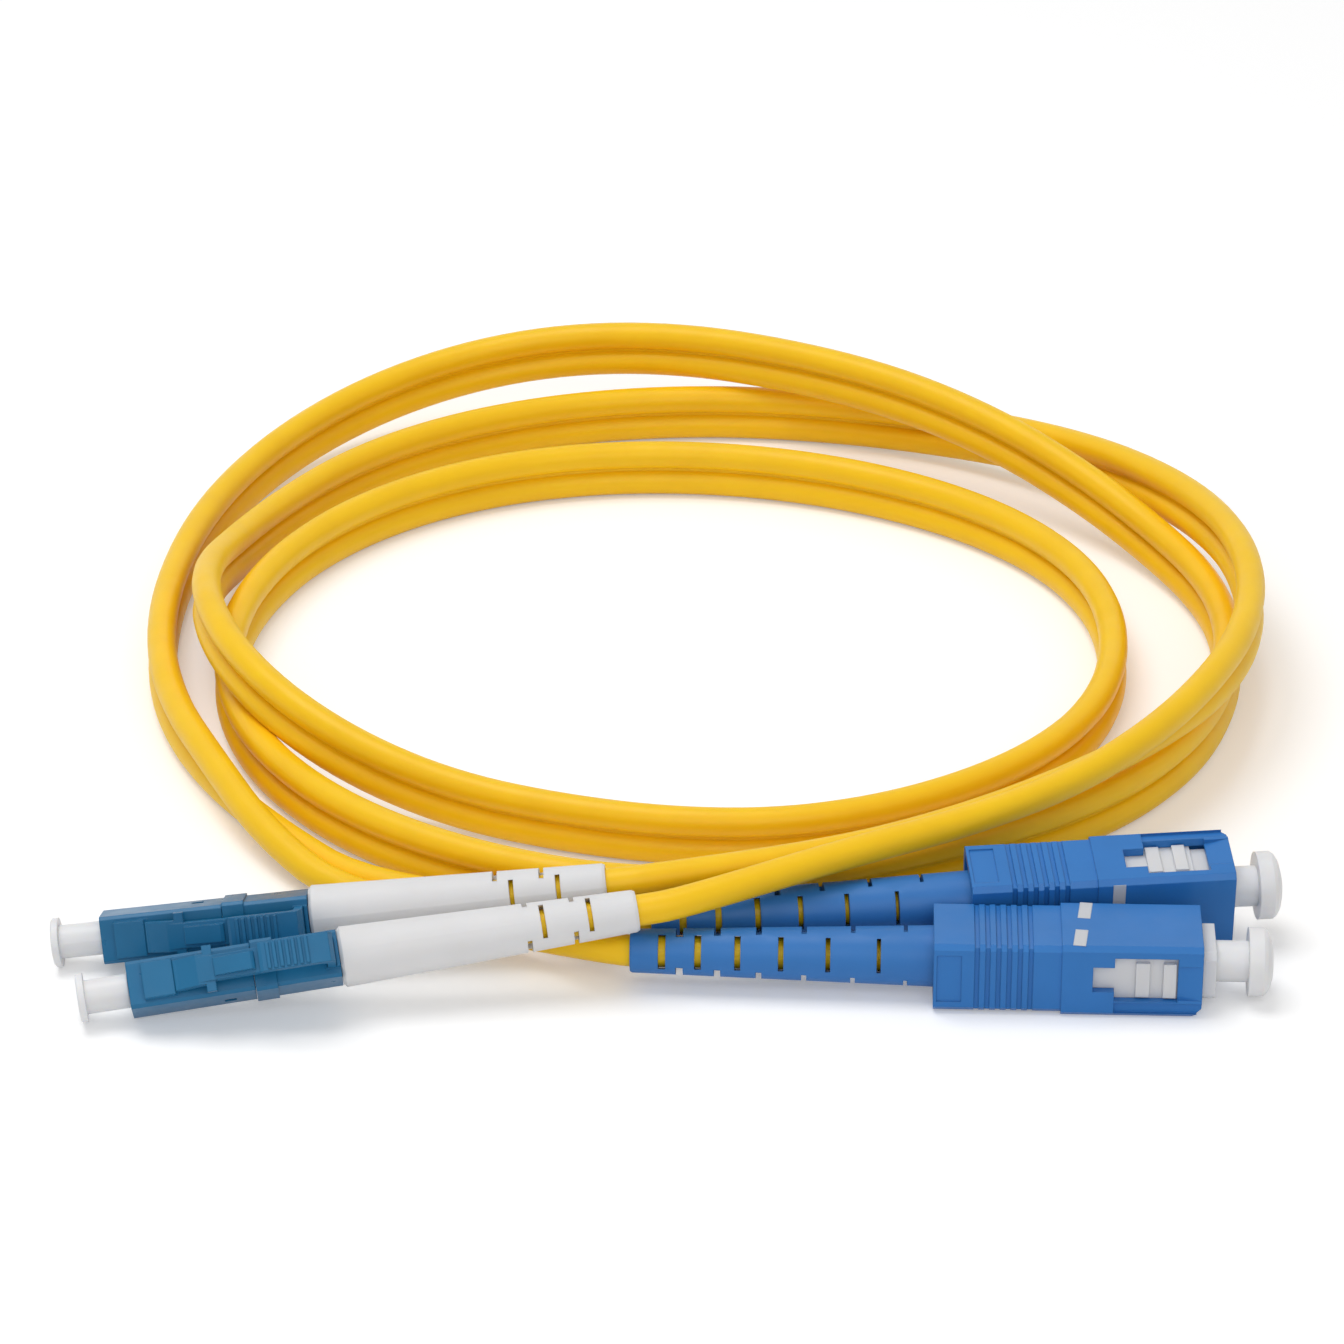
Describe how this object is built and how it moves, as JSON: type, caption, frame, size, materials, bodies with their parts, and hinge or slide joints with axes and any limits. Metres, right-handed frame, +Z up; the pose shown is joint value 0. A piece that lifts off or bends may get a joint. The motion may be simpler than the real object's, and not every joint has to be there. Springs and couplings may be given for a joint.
{
  "type": "fiber optic patch cord",
  "caption": "Duplex fiber optic patch cord wound in a loose coil, LC plugs with latches on one end, SC push-pull plugs on the other, dust caps on.",
  "frame": {"origin": "on the standing surface, under the middle of the box around the four plugs", "axes": "+X from the LC plugs towards the SC plugs, +Y from the plugs towards the coil, +Z up"},
  "size_m": [0.1201, 0.1415, 0.0131],
  "materials": {
    "jacket_yellow": "smooth PVC or LSZH, half gloss",
    "fibre_buffer": "smooth buffer",
    "lc_teal": "moulded, half gloss",
    "lc_boot_white": "smooth moulded elastomer",
    "sc_blue": "moulded, half gloss",
    "sc_boot_blue": "smooth moulded elastomer",
    "frame_white": "moulded",
    "cap_white": "soft translucent moulding",
    "zirconia": "polished ceramic",
    "flange_metal": "turned",
    "spring_steel": "drawn wire",
    "crimp_body_metal": "turned and plated",
    "crimp_ring_metal": "plated tube",
    "aramid_yarn": "yarn under the crimp"
  },
  "bodies": {
    "cord": {"strand_1_jacket": "jacket_yellow", "strand_2_jacket": "jacket_yellow", "strand_1_fibre": "fibre_buffer", "strand_2_fibre": "fibre_buffer", "lc_1_plug_body": "lc_teal", "lc_1_rear_body": "lc_teal", "lc_1_crimp_body": "crimp_body_metal", "lc_1_aramid": "aramid_yarn", "lc_1_crimp_ring": "crimp_ring_metal", "lc_1_boot": "lc_boot_white", "lc_1_spring": "spring_steel", "lc_2_plug_body": "lc_teal", "lc_2_rear_body": "lc_teal", "lc_2_crimp_body": "crimp_body_metal", "lc_2_aramid": "aramid_yarn", "lc_2_crimp_ring": "crimp_ring_metal", "lc_2_boot": "lc_boot_white", "lc_2_spring": "spring_steel", "sc_1_plug_frame": "frame_white", "sc_1_crimp_body": "crimp_body_metal", "sc_1_aramid": "aramid_yarn", "sc_1_crimp_ring": "crimp_ring_metal", "sc_1_boot": "sc_boot_blue", "sc_1_spring": "spring_steel", "sc_2_plug_frame": "frame_white", "sc_2_crimp_body": "crimp_body_metal", "sc_2_aramid": "aramid_yarn", "sc_2_crimp_ring": "crimp_ring_metal", "sc_2_boot": "sc_boot_blue", "sc_2_spring": "spring_steel"},
    "lc_1_ferrule_set": {"lc_1_ferrule": "zirconia", "lc_1_ferrule_flange": "flange_metal"},
    "lc_1_latch": {"lc_1_latch_arm": "lc_teal"},
    "lc_1_trigger_lever": {"lc_1_trigger": "lc_teal"},
    "lc_1_cap": {"lc_1_dust_cap": "cap_white"},
    "lc_2_ferrule_set": {"lc_2_ferrule": "zirconia", "lc_2_ferrule_flange": "flange_metal"},
    "lc_2_latch": {"lc_2_latch_arm": "lc_teal"},
    "lc_2_trigger_lever": {"lc_2_trigger": "lc_teal"},
    "lc_2_cap": {"lc_2_dust_cap": "cap_white"},
    "sc_1_ferrule_set": {"sc_1_ferrule": "zirconia", "sc_1_ferrule_flange": "flange_metal"},
    "sc_1_sleeve": {"sc_1_grip": "sc_blue"},
    "sc_1_cap": {"sc_1_dust_cap": "cap_white"},
    "sc_2_ferrule_set": {"sc_2_ferrule": "zirconia", "sc_2_ferrule_flange": "flange_metal"},
    "sc_2_sleeve": {"sc_2_grip": "sc_blue"},
    "sc_2_cap": {"sc_2_dust_cap": "cap_white"}
  },
  "joints": [
    {"name": "lc_1_ferrule_slide", "type": "slide", "parent": "cord", "child": "lc_1_ferrule_set", "axis": [-0.9939, -0.0226, -0.108], "range_m": [-0.0008, 0], "stiffness_N_per_m": 1000, "deforming": ["lc_1_spring"]},
    {"name": "lc_1_trigger_hinge", "type": "hinge", "parent": "cord", "child": "lc_1_trigger_lever", "pos_m": [-0.03457, -0.00018, 0.00593], "axis": [0.1092, -0.3396, -0.9342], "range_deg": [0, 9], "stiffness_Nm_per_rad": 0.01},
    {"name": "lc_1_latch_hinge", "type": "hinge", "parent": "cord", "child": "lc_1_latch", "pos_m": [-0.04878, -0.0005, 0.00439], "axis": [0.1092, -0.3396, -0.9342], "range_deg": [-7, 0]},
    {"name": "lc_1_cap_slide", "type": "slide", "parent": "cord", "child": "lc_1_cap", "axis": [-0.9939, -0.0226, -0.108], "range_m": [0, 0.006]},
    {"name": "lc_2_ferrule_slide", "type": "slide", "parent": "cord", "child": "lc_2_ferrule_set", "axis": [-0.9857, -0.1333, -0.1028], "range_m": [-0.0008, 0], "stiffness_N_per_m": 1000, "deforming": ["lc_2_spring"]},
    {"name": "lc_2_trigger_hinge", "type": "hinge", "parent": "cord", "child": "lc_2_trigger_lever", "pos_m": [-0.03133, -0.00792, 0.00702], "axis": [0.1659, -0.6658, -0.7275], "range_deg": [0, 9], "stiffness_Nm_per_rad": 0.01},
    {"name": "lc_2_latch_hinge", "type": "hinge", "parent": "cord", "child": "lc_2_latch", "pos_m": [-0.04543, -0.00982, 0.00555], "axis": [0.1659, -0.6658, -0.7275], "range_deg": [-7, 0]},
    {"name": "lc_2_cap_slide", "type": "slide", "parent": "cord", "child": "lc_2_cap", "axis": [-0.9857, -0.1333, -0.1028], "range_m": [0, 0.006]},
    {"name": "sc_1_ferrule_slide", "type": "slide", "parent": "cord", "child": "sc_1_ferrule_set", "axis": [0.9969, 0.0767, 0.0192], "range_m": [-0.001, 0], "stiffness_N_per_m": 1500, "deforming": ["sc_1_spring"]},
    {"name": "sc_1_grip_slide", "type": "slide", "parent": "cord", "child": "sc_1_sleeve", "axis": [0.9969, 0.0767, 0.0192], "range_m": [-0.0018, 0]},
    {"name": "sc_1_cap_slide", "type": "slide", "parent": "cord", "child": "sc_1_cap", "axis": [0.9969, 0.0767, 0.0192], "range_m": [0, 0.008]},
    {"name": "sc_2_ferrule_slide", "type": "slide", "parent": "cord", "child": "sc_2_ferrule_set", "axis": [0.9994, -0.0349, 0], "range_m": [-0.001, 0], "stiffness_N_per_m": 1500, "deforming": ["sc_2_spring"]},
    {"name": "sc_2_grip_slide", "type": "slide", "parent": "cord", "child": "sc_2_sleeve", "axis": [0.9994, -0.0349, 0], "range_m": [0, 0.0018]},
    {"name": "sc_2_cap_slide", "type": "slide", "parent": "cord", "child": "sc_2_cap", "axis": [0.9994, -0.0349, 0], "range_m": [0, 0.008]}
  ],
  "couplings": [
    {"joint": "lc_1_latch_hinge", "follows": "lc_1_trigger_hinge", "ratio": -0.75},
    {"joint": "lc_2_latch_hinge", "follows": "lc_2_trigger_hinge", "ratio": -0.75}
  ]
}
